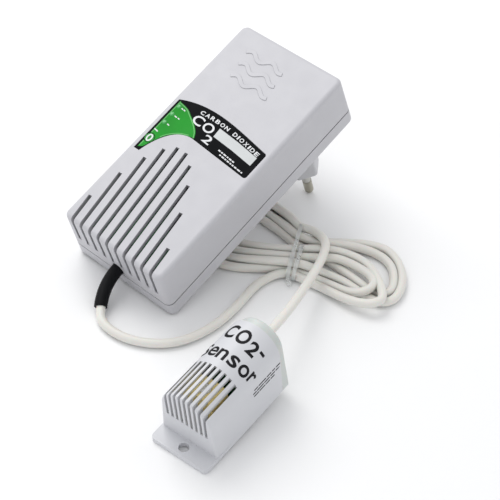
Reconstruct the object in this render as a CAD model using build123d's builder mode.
from build123d import *
import os
from math import acos, asin, atan2, cos, degrees, hypot, radians, sin, tan

# A plug-in carbon dioxide monitor with a remote sensor head on a cable.
# The monitor's case lies on its back, propped up by its own mains plug.
# Millimetres, +Z up, with the ground at zero. X runs across the case, Y up its length.
# The origin is under the middle of the case and sensor head taken together.

# ---- Case ----
case_foot = (-31.0, -28.2)
case_width = 54.8
case_length = 115.6
case_depth = 28.4
face_inset_side = 0.75
face_inset_lower = 1.4
face_inset_upper = 1.1
parting_height = 7.9
corner_radius = 3.0
face_edge_radius = 1.8
foot_radius = 2.0
wall = 2.0
floor_thickness = 2.4
lip_height = 1.7
lip_thickness = 1.2
lip_clearance = 0.2
parting_groove = 0.65
screw_posts = [(-20.4, 109.0), (20.4, 109.0)]
post_radius = 3.0
post_rise = 1.9
screw_head_radius = 2.75
screw_head_depth = 0.6
screw_head_thickness = 2.6

# ---- Grille in the face, carried round the case's lower end ----
slot_count = 10
slot_pitch = 4.8
slot_width = 1.65
slot_lean = 7.0
slot_longest = 50.5
slot_shortening = 1.86
slot_foot = 1.4
slot_overrun = 7.0
slot_end_height = 14.0

# ---- Printed face film ----
film_thickness = 0.3
film_clearance = 0.15
film_left = -24.3
film_right = 24.2
film_foot = 41.4
film_tail = 2.9
film_corner = 1.2

# ---- Mains plug (two round pins, 2.5 A flat pattern) ----
plug_centre = (6.7, 91.2)
plug_width = 35.3
plug_thickness = 13.7
plug_height = 15.5
plug_taper = 4.8
plug_corner = 1.6
plug_clearance = 0.15
pin_spacing = 19.0
pin_radius = 2.0
pin_core_radius = 1.5
pin_length = 19.0
sleeve_length = 10.0
sleeve_radius = 1.8
running_gap = 0.05

# ---- Reset button and status lights, in a column at the film's left edge ----
button_place = (-21.9, 48.5)
button_radius = 2.1
button_travel = 0.5
button_gap = 0.25
light_column = -21.9
light_rows = (57.7, 62.4, 66.8)
light_radius = 1.1

# ---- Circuit board ----
board_base = 9.9
board_thickness = 1.6
board_top = board_base + board_thickness
board_pillars = [(-17, 20), (17, 20), (-17, 76), (20, 76)]
board_screw_places = [board_pillars[0], board_pillars[3]]

# ---- Sensor cable ----
cable_radius = 1.85
relief_radius = 2.75
relief_place = (-0.8, 11.2)
relief_tip = (-26.3, -46.9, 2.9)
hank_floor = 0.7
hank_top = 8.4

# ---- Sensor head ----
head_width = 25.8
head_height = 30.0
arch_radius = 11.3
head_face = 7.0
head_lean = 4.5
step_place = 47.0
head_end = 51.6
head_wall = 1.2
cap_gap = 0.3
cap_step = 1.6
lug_thickness = 2.2
lug_corner = 1.8
lug_hole_place = 3.6
lug_hole_radius = 2.1
head_slot_count = 9
head_slot_pitch = 2.21
head_slot_width = 1.2
head_slot_end = 23.6
head_slot_floor = 13.0
head_exit_height = 16.5
chamber_base = 10.3
chamber_place = (1.2, 15.8)
chamber_width = 13.4
chamber_length = 9.0
chamber_height = 16.0
chamber_round = 4.0
head_place = (45.8, -78.0)
head_turn = 4.7
head_pitch = 6.5

# The case rests on its rounded lower back edge and on the tips of the plug's pins.
pin_reach = plug_height + pin_length - pin_radius
lever = plug_centre[1] - foot_radius
drop = pin_reach + foot_radius
case_tilt = atan2(drop, lever) + asin((pin_radius - foot_radius) / hypot(lever, drop))
case_lift = -foot_radius * (sin(case_tilt) + cos(case_tilt) - 1)
print("case tilt, degrees:", round(degrees(case_tilt), 2))

case = Plane(
    origin=(case_foot[0], case_foot[1], case_lift),
    x_dir=(1, 0, 0),
    z_dir=(0, -sin(case_tilt), cos(case_tilt)),
)
along = Axis(case.origin, case.y_dir)
depth = Axis(case.origin, case.z_dir)

turn, pitch = radians(head_turn), radians(head_pitch)
head = Plane(
    origin=(head_place[0], head_place[1], 0),
    x_dir=(cos(turn), sin(turn), 0),
    z_dir=(sin(pitch) * sin(turn), -sin(pitch) * cos(turn), cos(pitch)),
)
head_up = Axis(head.origin, head.z_dir)
head_along = Axis(head.origin, head.y_dir)

os.makedirs("parts", exist_ok=True)


def world(frame, place):
    """A point given in a tilted frame, in the part's own frame."""
    return frame.from_local_coords(Vector(*place))


def case_section(height, inset=0.0):
    """Width, length and centre of the case's outline at a height above its back."""
    share = height / case_depth
    width = case_width - 2 * (share * face_inset_side + inset)
    low = share * face_inset_lower + inset
    high = case_length - share * face_inset_upper - inset
    return width, high - low, (low + high) / 2


# ---------------------------------------------------------------- case

with BuildPart() as case_body:
    for height in (0, case_depth):
        width, length, centre = case_section(height)
        with BuildSketch(case.offset(height)):
            with Locations((0, centre)):
                RectangleRounded(width, length, corner_radius)
    loft()
    fillet(case_body.faces().sort_by(depth)[-1].edges(), face_edge_radius)
    back_edges = case_body.faces().sort_by(depth)[0].edges()
    fillet(back_edges.sort_by(along)[0], foot_radius)

with BuildPart() as face_cavity:
    for height in (0, case_depth - wall):
        width, length, centre = case_section(height, wall)
        with BuildSketch(case.offset(height)):
            with Locations((0, centre)):
                RectangleRounded(width, length, corner_radius - 1)
    loft()


def film_shape(plane, inset=0.0):
    """The face film's outline: a straight left edge, a bowed top and a tail that curls down."""
    left, right = film_left + inset, film_right - inset
    foot, tail = film_foot + inset, film_left + film_tail - inset
    with BuildSketch(plane) as shape:
        with BuildLine():
            Polyline((tail, foot), (left, foot), (left, 69.6 - inset))
            Spline((left, 69.6 - inset), (-16.0, 72.2 - inset), (-2.0, 72.9 - inset),
                   (right, 69.0 - inset))
            Polyline((right, 69.0 - inset), (right, 55.3 + inset), (-6.0, 57.9 + inset))
            Spline((-6.0, 57.9 + inset), (-13.2, 56.0 + inset), (-18.2 - inset, 50.1 + inset),
                   (tail, foot))
        make_face()
        fillet(shape.vertices().sort_by(Axis.X)[-2:], film_corner - inset)
    return shape


film_plane = case.offset(case_depth - film_thickness)
recess_shape = film_shape(film_plane)
face_shape = film_shape(film_plane, film_clearance)

def plug_shape(gap=0.0):
    """The flat plug's six-sided outline with rounded corners, grown all round by a gap."""
    half, flat, edge = plug_width / 2, plug_width / 2 - plug_taper, plug_thickness / 2
    with BuildSketch(Plane.XY) as shape:
        with BuildLine():
            Polyline((half, 0), (flat, edge), (-flat, edge), (-half, 0), (-flat, -edge),
                     (flat, -edge), close=True)
        make_face()
        fillet(shape.vertices(), plug_corner)
        if gap:
            offset(amount=gap)
    return shape


plug_outline = plug_shape()
plug_opening = plug_shape(plug_clearance)

with BuildPart() as front_shell:
    add(case_body)
    add(face_cavity, mode=Mode.SUBTRACT)
    split(bisect_by=case.offset(parting_height + parting_groove), keep=Keep.TOP)
    # Ten slots, longest in the middle, open through the face and the lower end wall.
    with BuildSketch(case.offset(slot_end_height)):
        for index in range(slot_count):
            step = index - (slot_count - 1) / 2
            tip = slot_foot + slot_longest - slot_shortening * step ** 2
            middle = (tip + slot_foot - slot_overrun) / 2
            lean = tan(radians(slot_lean)) * (middle - slot_foot)
            with Locations(Location((step * slot_pitch - lean, middle, 0), slot_lean)):
                Rectangle(slot_width, (tip - slot_foot + slot_overrun) / cos(radians(slot_lean)))
    extrude(amount=case_depth, mode=Mode.SUBTRACT)
    # A shallow recess takes the face film flush.
    with BuildSketch(film_plane):
        add(recess_shape)
    extrude(amount=film_thickness + 1, mode=Mode.SUBTRACT)
    # Holes for the button and the light pipes.
    with BuildSketch(case.offset(case_depth - 2 * wall)):
        with Locations(button_place):
            Circle(button_radius + button_gap)
        with Locations([(light_column, row) for row in light_rows]):
            Circle(light_radius + 0.1)
    extrude(amount=2 * wall, mode=Mode.SUBTRACT)
    # The cable's strain relief passes through the lower end wall.
    with BuildSketch(Plane(world(case, (relief_place[0], 0, relief_place[1])),
                           x_dir=case.x_dir, z_dir=-case.y_dir)):
        Circle(relief_radius + 0.15)
    extrude(amount=6, both=True, mode=Mode.SUBTRACT)
    # Posts for the two case screws.
    with BuildSketch(case.offset(parting_height + 2)):
        with Locations(screw_posts):
            Circle(post_radius)
    extrude(amount=case_depth - wall - parting_height - 1.5)
    with BuildSketch(case.offset(parting_height + 2)):
        with Locations(screw_posts):
            Circle(1.2)
    extrude(amount=10, mode=Mode.SUBTRACT)
front_shell.part.label = "front_shell"

with BuildPart() as back_shell:
    add(case_body)
    split(bisect_by=case.offset(parting_height), keep=Keep.BOTTOM)
    width, length, centre = case_section(parting_height, wall + lip_clearance)
    with BuildSketch(case.offset(floor_thickness)):
        with Locations((0, centre)):
            RectangleRounded(width, length, corner_radius - 1.2)
    extrude(amount=parting_height - floor_thickness + lip_height)
    inner_width, inner_length = width - 2 * lip_thickness, length - 2 * lip_thickness
    with BuildSketch(case.offset(floor_thickness)):
        with Locations((0, centre)):
            RectangleRounded(inner_width, inner_length, corner_radius - 2)
    extrude(amount=parting_height + lip_height, mode=Mode.SUBTRACT)
    # The plug insert drops through the floor from inside.
    with BuildSketch(case):
        with Locations(plug_centre):
            add(plug_opening)
    extrude(amount=floor_thickness, mode=Mode.SUBTRACT)
    # Screw posts with counterbored holes from the back, and pillars under the board.
    with BuildSketch(case.offset(floor_thickness)):
        with Locations(screw_posts):
            Circle(post_radius)
    extrude(amount=parting_height + post_rise - floor_thickness)
    with BuildSketch(case):
        with Locations(screw_posts):
            Circle(1.7)
    extrude(amount=parting_height + 2, mode=Mode.SUBTRACT)
    with BuildSketch(case):
        with Locations(screw_posts):
            Circle(2.9)
    extrude(amount=3.2, mode=Mode.SUBTRACT)
    with BuildSketch(case.offset(floor_thickness)):
        with Locations(board_pillars):
            Circle(2.6)
    extrude(amount=board_base - floor_thickness)
    with BuildSketch(case.offset(floor_thickness + 1.5)):
        with Locations(board_screw_places):
            Circle(0.95)
    extrude(amount=board_base, mode=Mode.SUBTRACT)
    # A notch in the lip clears the strain relief's collar.
    with BuildSketch(Plane(world(case, (relief_place[0], wall + 0.1, relief_place[1])),
                           x_dir=case.x_dir, z_dir=-case.y_dir)):
        Circle(relief_radius + 1.4)
    extrude(amount=-4, mode=Mode.SUBTRACT)
back_shell.part.label = "back_shell"

with BuildPart() as case_screws:
    with BuildSketch(case.offset(screw_head_depth)):
        with Locations(screw_posts):
            Circle(screw_head_radius)
    extrude(amount=screw_head_thickness)
    with BuildSketch(case.offset(1.0)):
        with Locations(screw_posts):
            Circle(1.15)
    extrude(amount=15)
    with BuildSketch(case.offset(screw_head_depth)):
        with Locations(screw_posts):
            Rectangle(3.2, 0.7)
            Rectangle(0.7, 3.2)
    extrude(amount=1.3, mode=Mode.SUBTRACT)
case_screws.part.label = "case_screws"

with BuildPart() as face_film:
    with BuildSketch(film_plane):
        add(face_shape)
        with Locations(button_place):
            Circle(button_radius + button_gap, mode=Mode.SUBTRACT)
        with Locations([(light_column, row) for row in light_rows]):
            Circle(light_radius + 0.1, mode=Mode.SUBTRACT)
    extrude(amount=film_thickness)
face_film.part.label = "face_film"

# ---------------------------------------------------------------- plug

with BuildPart() as plug_body:
    with BuildSketch(case.offset(-plug_height)):
        with Locations(plug_centre):
            add(plug_outline)
    extrude(amount=plug_height + floor_thickness)
    fillet(plug_body.faces().sort_by(depth)[0].edges(), 1.2)
    with BuildSketch(case.offset(floor_thickness)):
        with Locations(plug_centre):
            Rectangle(plug_width - 6, plug_thickness + 4)
    extrude(amount=1.5)
    with BuildSketch(case.offset(-plug_height)):
        with Locations(plug_centre):
            with GridLocations(pin_spacing, 0, 2, 1):
                Circle(pin_core_radius + running_gap)
    extrude(amount=plug_height + floor_thickness + 2, mode=Mode.SUBTRACT)
plug_body.part.label = "plug_body"

pins = {}
for side, name in ((-1, "plug_pin_left"), (1, "plug_pin_right")):
    with BuildPart() as pin:
        place = (plug_centre[0] + side * pin_spacing / 2, plug_centre[1])
        with BuildSketch(case.offset(-plug_height - sleeve_length)):
            with Locations(place):
                Circle(pin_core_radius)
        extrude(amount=sleeve_length + plug_height + 6.5)
        with BuildSketch(case.offset(-plug_height - pin_length)):
            with Locations(place):
                Circle(pin_radius)
        extrude(amount=pin_length - sleeve_length)
        tip_edge = pin.faces().sort_by(depth)[0].edges()
        fillet(tip_edge, pin_radius - 0.02)
    pins[name] = pin
plug_pin_left = pins["plug_pin_left"]
plug_pin_right = pins["plug_pin_right"]
plug_pin_left.part.label = "plug_pin_left"
plug_pin_right.part.label = "plug_pin_right"

with BuildPart() as pin_sleeves:
    with BuildSketch(case.offset(-plug_height - sleeve_length + running_gap)):
        with Locations(plug_centre):
            with GridLocations(pin_spacing, 0, 2, 1):
                Circle(sleeve_radius)
                Circle(pin_core_radius + running_gap, mode=Mode.SUBTRACT)
    extrude(amount=sleeve_length - running_gap)
pin_sleeves.part.label = "pin_sleeves"

with BuildPart() as mains_wires:
    for side in (-1, 1):
        start = (plug_centre[0] + side * pin_spacing / 2, plug_centre[1])
        with BuildLine() as wire_line:
            FilletPolyline(
                world(case, (start[0] + side * 2.4, start[1], 6.0)),
                world(case, (start[0] + side * 2.4, start[1] - 9, 6.0)),
                world(case, (start[0] + side * 2.4, start[1] - 9, board_base)),
                radius=1.5,
            )
        with BuildSketch(Plane(wire_line.line @ 0, z_dir=wire_line.line % 0)):
            Circle(0.8)
        sweep()
mains_wires.part.label = "mains_wires"

# ---------------------------------------------------------------- circuit board

with BuildPart() as main_board:
    with BuildSketch(case.offset(board_base)):
        with Locations((0, 57)):
            Rectangle(47, 96)
        with Locations(board_screw_places):
            Circle(1.3, mode=Mode.SUBTRACT)
    extrude(amount=board_thickness)
main_board.part.label = "main_board"

with BuildPart() as board_screws:
    with BuildSketch(case.offset(board_top)):
        with Locations(board_screw_places):
            Circle(2.3)
    extrude(amount=1.6)
    with BuildSketch(case.offset(board_top)):
        with Locations(board_screw_places):
            Circle(0.9)
    extrude(amount=-6.5)
board_screws.part.label = "board_screws"


def on_board(place, size, height, base=board_top):
    """A block that stands on the board, centred on a place in the case's frame."""
    with BuildPart() as block:
        with BuildSketch(case.offset(base)):
            with Locations(place):
                Rectangle(*size)
        extrude(amount=height)
    return block


def drum_on_board(place, radius, height, base=board_top):
    """An upright drum that stands on the board."""
    with BuildPart() as drum:
        with BuildSketch(case.offset(base)):
            with Locations(place):
                Circle(radius)
        extrude(amount=height)
    return drum


transformer_place = (5.0, 92.0)
with BuildPart() as transformer_core:
    with BuildSketch(case.offset(board_top + 3.3)):
        with Locations(transformer_place):
            Rectangle(31, 22)
            with GridLocations(18, 0, 2, 1):
                Rectangle(5, 14, mode=Mode.SUBTRACT)
    extrude(amount=7)
transformer_core.part.label = "transformer_core"

with BuildPart() as transformer_winding:
    with BuildSketch(case.offset(board_top + 1.2)):
        with Locations(transformer_place):
            RectangleRounded(22.4, 13.4, 2)
            Rectangle(13.4, 13.5, mode=Mode.SUBTRACT)
    extrude(amount=12)
    with BuildSketch(case.offset(board_top + 1.2)):
        with Locations(transformer_place):
            Rectangle(14, 13.4)
    extrude(amount=1.8)
    with BuildSketch(case.offset(board_top + 10.6)):
        with Locations(transformer_place):
            Rectangle(14, 13.4)
    extrude(amount=2.6)
transformer_winding.part.label = "transformer_winding"

transformer_base = on_board(transformer_place, (25, 20), 1.1)
transformer_base.part.label = "transformer_base"

fuse = drum_on_board((-17.0, 86.0), 4.2, 8.0)
fuse.part.label = "fuse"

with BuildPart() as filter_capacitor:
    with BuildSketch(case.offset(board_top)):
        with Locations((14.0, 66.5)):
            Circle(5.0)
    extrude(amount=12.5)
    fillet(filter_capacitor.faces().sort_by(depth)[-1].edges(), 0.6)
filter_capacitor.part.label = "filter_capacitor"

rectifier = on_board((1.5, 70.5), (8.4, 6.4), 3.2)
rectifier.part.label = "rectifier"

voltage_regulator = on_board((-9.0, 73.5), (10.0, 4.5), 11.0)
voltage_regulator.part.label = "voltage_regulator"

microcontroller = on_board((2.0, 46.0), (9.0, 22.4), 3.4)
microcontroller.part.label = "microcontroller"

with BuildPart() as buzzer:
    with BuildSketch(case.offset(board_top)):
        with Locations((13.0, 28.0)):
            Circle(6.0)
    extrude(amount=8.5)
    with BuildSketch(case.offset(board_top + 8.5)):
        with Locations((13.0, 28.0)):
            Circle(1.0)
    extrude(amount=-3, mode=Mode.SUBTRACT)
buzzer.part.label = "buzzer"

terminal_place = (-0.8, 16.5)
with BuildPart() as sensor_terminal:
    with BuildSketch(case.offset(board_top)):
        with Locations(terminal_place):
            Rectangle(15.0, 8.0)
    extrude(amount=8.0)
    with BuildSketch(case.offset(board_top + 8.0)):
        with Locations(terminal_place):
            with GridLocations(5, 0, 3, 1):
                Circle(1.5)
    extrude(amount=-2, mode=Mode.SUBTRACT)
sensor_terminal.part.label = "sensor_terminal"

lights = {}
for name, row in zip(("led_green", "led_yellow", "led_red"), light_rows):
    with BuildPart() as led:
        with BuildSketch(case.offset(board_top)):
            with Locations((light_column + 0.2, row)):
                Circle(1.5)
        extrude(amount=4.0)
        fillet(led.faces().sort_by(depth)[-1].edges(), 1.2)
    lights[name] = led
led_green, led_yellow, led_red = lights["led_green"], lights["led_yellow"], lights["led_red"]
led_green.part.label = "led_green"
led_yellow.part.label = "led_yellow"
led_red.part.label = "led_red"

with BuildPart() as light_pipes:
    with BuildSketch(case.offset(board_top + 4.3)):
        with Locations([(light_column, row) for row in light_rows]):
            Circle(light_radius)
    extrude(amount=case_depth - board_top - 4.3)
    with BuildSketch(case.offset(case_depth - wall - 1.4)):
        with Locations([(light_column, row) for row in light_rows]):
            Circle(light_radius + 0.6)
    extrude(amount=1.2)
light_pipes.part.label = "light_pipes"

switch_top = board_top + 3.4
with BuildPart() as switch_body:
    with BuildSketch(case.offset(board_top)):
        with Locations((button_place[0] + 1.3, button_place[1])):
            Rectangle(6.0, 6.0)
    extrude(amount=3.4)
    with BuildSketch(case.offset(switch_top)):
        with Locations(button_place):
            Circle(1.4)
    extrude(amount=-2.0, mode=Mode.SUBTRACT)
switch_body.part.label = "switch_body"

with BuildPart() as switch_plunger:
    with BuildSketch(case.offset(switch_top - 1.0)):
        with Locations(button_place):
            Circle(1.1)
    extrude(amount=2.0)
switch_plunger.part.label = "switch_plunger"

with BuildPart() as reset_button:
    with BuildSketch(case.offset(case_depth - wall - 1.6)):
        with Locations(button_place):
            Circle(button_radius + 0.5)
    extrude(amount=1.4)
    with BuildSketch(case.offset(case_depth - wall - 1.6)):
        with Locations(button_place):
            Circle(button_radius)
    extrude(amount=wall + 1.6)
    with BuildSketch(case.offset(switch_top + 1.0)):
        with Locations(button_place):
            Circle(1.1)
    extrude(amount=case_depth - wall - 1.6 - switch_top - 1.0)
reset_button.part.label = "reset_button"

# ---------------------------------------------------------------- strain relief

with BuildPart() as strain_relief:
    with BuildLine() as relief_line:
        FilletPolyline(
            world(case, (relief_place[0], 4.5, relief_place[1])),
            world(case, (relief_place[0], -8.0, relief_place[1])),
            relief_tip,
            radius=14.0,
        )
    with BuildSketch(Plane(relief_line.line @ 0, z_dir=relief_line.line % 0)):
        Circle(relief_radius)
    sweep()
    with BuildSketch(Plane(world(case, (relief_place[0], wall + 0.9, relief_place[1])),
                           x_dir=case.x_dir, z_dir=case.y_dir)):
        Circle(relief_radius + 1.0)
    extrude(amount=1.4)
strain_relief.part.label = "strain_relief"

# ---------------------------------------------------------------- sensor head


def head_profile(plane, base, radius, foot=0.0):
    """The head's D-shaped section: an arch, with a straight wall tangent to it on each side."""
    spring = head_height - arch_radius
    reach = hypot(base, spring)
    touch = acos(radius / reach) - atan2(spring, base)
    shoulder, shoulder_height = radius * cos(touch), spring + radius * sin(touch)
    with BuildSketch(plane) as section:
        with BuildLine():
            Polyline((-shoulder, shoulder_height), (-base, foot), (base, foot),
                     (shoulder, shoulder_height))
            ThreePointArc((shoulder, shoulder_height), (0, spring + radius),
                          (-shoulder, shoulder_height))
        make_face()
    return section


def head_section(place):
    """A plane across the head, facing its cable end, with its base edge at the bottom."""
    return Plane(world(head, (0, place, 0)), x_dir=-head.x_dir, z_dir=head.y_dir)


front_cut = Plane(
    world(head, (0, head_face, lug_thickness)),
    x_dir=head.x_dir,
    z_dir=head.y_dir * cos(radians(head_lean)) + head.z_dir * sin(radians(head_lean)),
)

half_width = head_width / 2
body_section = head_profile(head_section(0), half_width, arch_radius)
cavity_section = head_profile(head_section(head_face + head_wall), half_width - head_wall,
                              arch_radius - head_wall, -1.0)

with BuildPart() as head_housing:
    with BuildSketch(head_section(0)):
        add(body_section)
    extrude(amount=step_place)
    split(bisect_by=front_cut, keep=Keep.TOP)
    end_face = head_housing.faces().sort_by(head_along)[0]
    fillet(end_face.edges().sort_by(head_up)[1:], 0.8)
    with BuildSketch(head):
        with Locations((0, head_face / 2 + 4)):
            RectangleRounded(head_width, head_face + 8, lug_corner)
    extrude(amount=lug_thickness)
    with BuildSketch(head_section(head_face + head_wall)):
        add(cavity_section)
    extrude(amount=step_place, mode=Mode.SUBTRACT)
    # Nine slots run over the arch and down the end face.
    with BuildSketch(head.offset(head_slot_floor)):
        for index in range(head_slot_count):
            offset_across = (index - (head_slot_count - 1) / 2) * head_slot_pitch
            with Locations((offset_across, head_slot_end / 2)):
                Rectangle(head_slot_width, head_slot_end)
    extrude(amount=head_height, mode=Mode.SUBTRACT)
    with BuildSketch(head):
        with Locations((0, lug_hole_place)):
            Circle(lug_hole_radius)
    extrude(amount=lug_thickness, mode=Mode.SUBTRACT)
head_housing.part.label = "head_housing"

cap_section = head_profile(head_section(step_place + cap_gap), half_width,
                           arch_radius - cap_step)
spigot_section = head_profile(head_section(step_place - 3), half_width - head_wall - 0.4,
                              arch_radius - head_wall - 0.2, 2.6)

with BuildPart() as head_cap:
    with BuildSketch(head_section(step_place + cap_gap)):
        add(cap_section)
    extrude(amount=head_end - step_place - cap_gap)
    outer_face = head_cap.faces().sort_by(head_along)[-1]
    fillet(outer_face.edges().sort_by(head_up)[1:], 1.4)
    with BuildSketch(head_section(step_place - 3)):
        add(spigot_section)
    extrude(amount=3 + cap_gap)
    with BuildSketch(head_section(step_place - 4)):
        with Locations((0, head_exit_height)):
            Circle(3.2)
    extrude(amount=12, mode=Mode.SUBTRACT)
head_cap.part.label = "head_cap"

with BuildPart() as head_grommet:
    with BuildSketch(head_section(step_place - 2)):
        with Locations((0, head_exit_height)):
            Circle(3.1)
            Circle(cable_radius + 0.1, mode=Mode.SUBTRACT)
    extrude(amount=head_end - step_place + 2.8)
    fillet(head_grommet.faces().sort_by(head_along)[-1].edges().sort_by(SortBy.LENGTH)[-1], 0.5)
head_grommet.part.label = "head_grommet"

plate_start, plate_end = head_face + head_wall + 0.3, step_place - 0.3
with BuildPart() as head_base_plate:
    with BuildSketch(head.offset(0.3)):
        with Locations((0, (plate_start + plate_end) / 2)):
            Rectangle(head_width - 2 * head_wall - 0.9, plate_end - plate_start)
    extrude(amount=1.8)
    with BuildSketch(head.offset(2.0)):
        with Locations((0, 26)):
            with GridLocations(14, 24, 2, 2):
                Circle(1.2)
    extrude(amount=6.9)
head_base_plate.part.label = "head_base_plate"

with BuildPart() as head_board:
    with BuildSketch(head.offset(8.9)):
        with Locations((0, 26)):
            Rectangle(18.4, 33)
    extrude(amount=1.4)
head_board.part.label = "head_board"

with BuildPart() as gas_chamber:
    with BuildSketch(head.offset(chamber_base)):
        with Locations(chamber_place):
            Rectangle(chamber_width, chamber_length)
    extrude(amount=chamber_height)
    top_edges = gas_chamber.faces().sort_by(head_up)[-1].edges()
    fillet(top_edges.filter_by(head_along), chamber_round)
    with BuildSketch(head.offset(chamber_base + chamber_height)):
        with Locations(chamber_place):
            Circle(2.4)
    extrude(amount=-0.8, mode=Mode.SUBTRACT)
gas_chamber.part.label = "gas_chamber"

with BuildPart() as gas_membrane:
    with BuildSketch(head.offset(chamber_base + chamber_height - 0.8)):
        with Locations(chamber_place):
            Circle(2.2)
    extrude(amount=0.7)
gas_membrane.part.label = "gas_membrane"

with BuildPart() as infrared_lamp:
    with BuildSketch(head.offset(chamber_base)):
        with Locations((1.2, 33.5)):
            Circle(2.6)
    extrude(amount=6.0)
infrared_lamp.part.label = "infrared_lamp"

# ---------------------------------------------------------------- sensor cable

cable_diameter = 2 * cable_radius


def fillet_radii(points):
    """The bend radius at each corner: 0.45 of the shorter run over the tangent of half the turn."""
    radii = []
    for before, corner, after in zip(points, points[1:], points[2:]):
        arriving, leaving = corner - before, after - corner
        half_turn = radians(arriving.get_angle(leaving)) / 2
        radii.append(0.45 * min(arriving.length, leaving.length) / tan(half_turn))
    return radii


def cable_tube(name, route):
    """A plain round tube along a route of straight runs joined by tangent arcs."""
    points = [Vector(*place) for place in route]
    radii = fillet_radii(points)
    with BuildPart() as tube:
        with BuildLine() as path:
            FilletPolyline(*points, radius=radii)
        with BuildSketch(Plane(path.line @ 0, z_dir=path.line % 0)):
            Circle(cable_radius)
        sweep()
    length = sum(edge.length for edge in path.edges())
    print(name, "length", round(length, 1), "bend radii", [round(r, 1) for r in radii])
    return tube


# From the strain relief, round on the table and into the hank.
unit_lead_route = [
    relief_tip,
    (-20.3, -52.6, 1.95),
    (-5.8, -51.2, 1.9),
    (7.8, -40.1, 1.9),
    (12.2, -23.1, 1.9),
    (11.0, -6.6, 1.9),
    (8.1, 6.7, 1.9),
    (9.3, 15.9, 1.9),
    (12.7, 21.7, 2.4),
]
cable_unit_lead = cable_tube("cable_unit_lead", unit_lead_route)
cable_unit_lead.part.label = "cable_unit_lead"

# From the sensor head, across the top of the hank and into its far side.
head_exit = world(head, (0, head_end + 0.8, head_exit_height))
head_lead_route = [
    (head_exit.X, head_exit.Y, head_exit.Z),
    (36.8, -8.1, 18.8),
    (29.6, 11.3, 12.8),
    (23.8, 28.8, 10.8),
    (17.8, 40.6, 10.7),
    (7.3, 44.3, 7.4),
]
cable_head_lead = cable_tube("cable_head_lead", head_lead_route)
cable_head_lead.part.label = "cable_head_lead"

# The hank: a waisted bundle of turns, gathered by the tie and open at both ends.
hank_outline = [
    (55.3, 42.7), (51.6, 52.2), (44.1, 59.7), (33.1, 63.9), (20.1, 57.9), (7.1, 48.7),
    (-4.3, 46.7), (-14.3, 48.7), (-27.3, 48.9), (-41.3, 44.7), (-50.3, 33.7), (-51.9, 20.7),
    (-45.9, 7.7), (-32.9, 0.9), (-17.9, 1.2), (-4.8, 6.3), (5.5, 12.9), (14.6, 19.3),
    (24.1, 22.2), (33.1, 23.5), (44.1, 24.7), (52.6, 30.5),
]
with BuildPart() as cable_hank:
    with BuildSketch(Plane.XY.offset(hank_floor)):
        with BuildLine():
            Spline(*hank_outline, periodic=True)
        make_face()
    extrude(amount=hank_top - hank_floor)
cable_hank.part.label = "cable_hank"

tie_place, tie_turn = (8.1, 31.7), -61.0
tie_plane = Plane((tie_place[0], tie_place[1], 0),
                  x_dir=(cos(radians(tie_turn)), sin(radians(tie_turn)), 0),
                  z_dir=(sin(radians(tie_turn)), -cos(radians(tie_turn)), 0))
with BuildPart() as hank_tie:
    with BuildSketch(tie_plane):
        with Locations((0, 4.8)):
            RectangleRounded(30.0, 9.4, 4.5)
            RectangleRounded(28.4, 7.8, 3.7, mode=Mode.SUBTRACT)
    extrude(amount=1.6, both=True)
hank_tie.part.label = "hank_tie"

export_step(front_shell.part, "parts/front_shell.step")
export_step(back_shell.part, "parts/back_shell.step")
export_step(case_screws.part, "parts/case_screws.step")
export_step(face_film.part, "parts/face_film.step")
export_step(plug_body.part, "parts/plug_body.step")
export_step(plug_pin_left.part, "parts/plug_pin_left.step")
export_step(plug_pin_right.part, "parts/plug_pin_right.step")
export_step(pin_sleeves.part, "parts/pin_sleeves.step")
export_step(mains_wires.part, "parts/mains_wires.step")
export_step(main_board.part, "parts/main_board.step")
export_step(board_screws.part, "parts/board_screws.step")
export_step(transformer_core.part, "parts/transformer_core.step")
export_step(transformer_winding.part, "parts/transformer_winding.step")
export_step(transformer_base.part, "parts/transformer_base.step")
export_step(fuse.part, "parts/fuse.step")
export_step(filter_capacitor.part, "parts/filter_capacitor.step")
export_step(rectifier.part, "parts/rectifier.step")
export_step(voltage_regulator.part, "parts/voltage_regulator.step")
export_step(microcontroller.part, "parts/microcontroller.step")
export_step(buzzer.part, "parts/buzzer.step")
export_step(sensor_terminal.part, "parts/sensor_terminal.step")
export_step(led_green.part, "parts/led_green.step")
export_step(led_yellow.part, "parts/led_yellow.step")
export_step(led_red.part, "parts/led_red.step")
export_step(light_pipes.part, "parts/light_pipes.step")
export_step(switch_body.part, "parts/switch_body.step")
export_step(switch_plunger.part, "parts/switch_plunger.step")
export_step(reset_button.part, "parts/reset_button.step")
export_step(strain_relief.part, "parts/strain_relief.step")
export_step(head_housing.part, "parts/head_housing.step")
export_step(head_cap.part, "parts/head_cap.step")
export_step(head_grommet.part, "parts/head_grommet.step")
export_step(head_base_plate.part, "parts/head_base_plate.step")
export_step(head_board.part, "parts/head_board.step")
export_step(gas_chamber.part, "parts/gas_chamber.step")
export_step(gas_membrane.part, "parts/gas_membrane.step")
export_step(infrared_lamp.part, "parts/infrared_lamp.step")
export_step(cable_unit_lead.part, "parts/cable_unit_lead.step")
export_step(cable_head_lead.part, "parts/cable_head_lead.step")
export_step(cable_hank.part, "parts/cable_hank.step")
export_step(hank_tie.part, "parts/hank_tie.step")
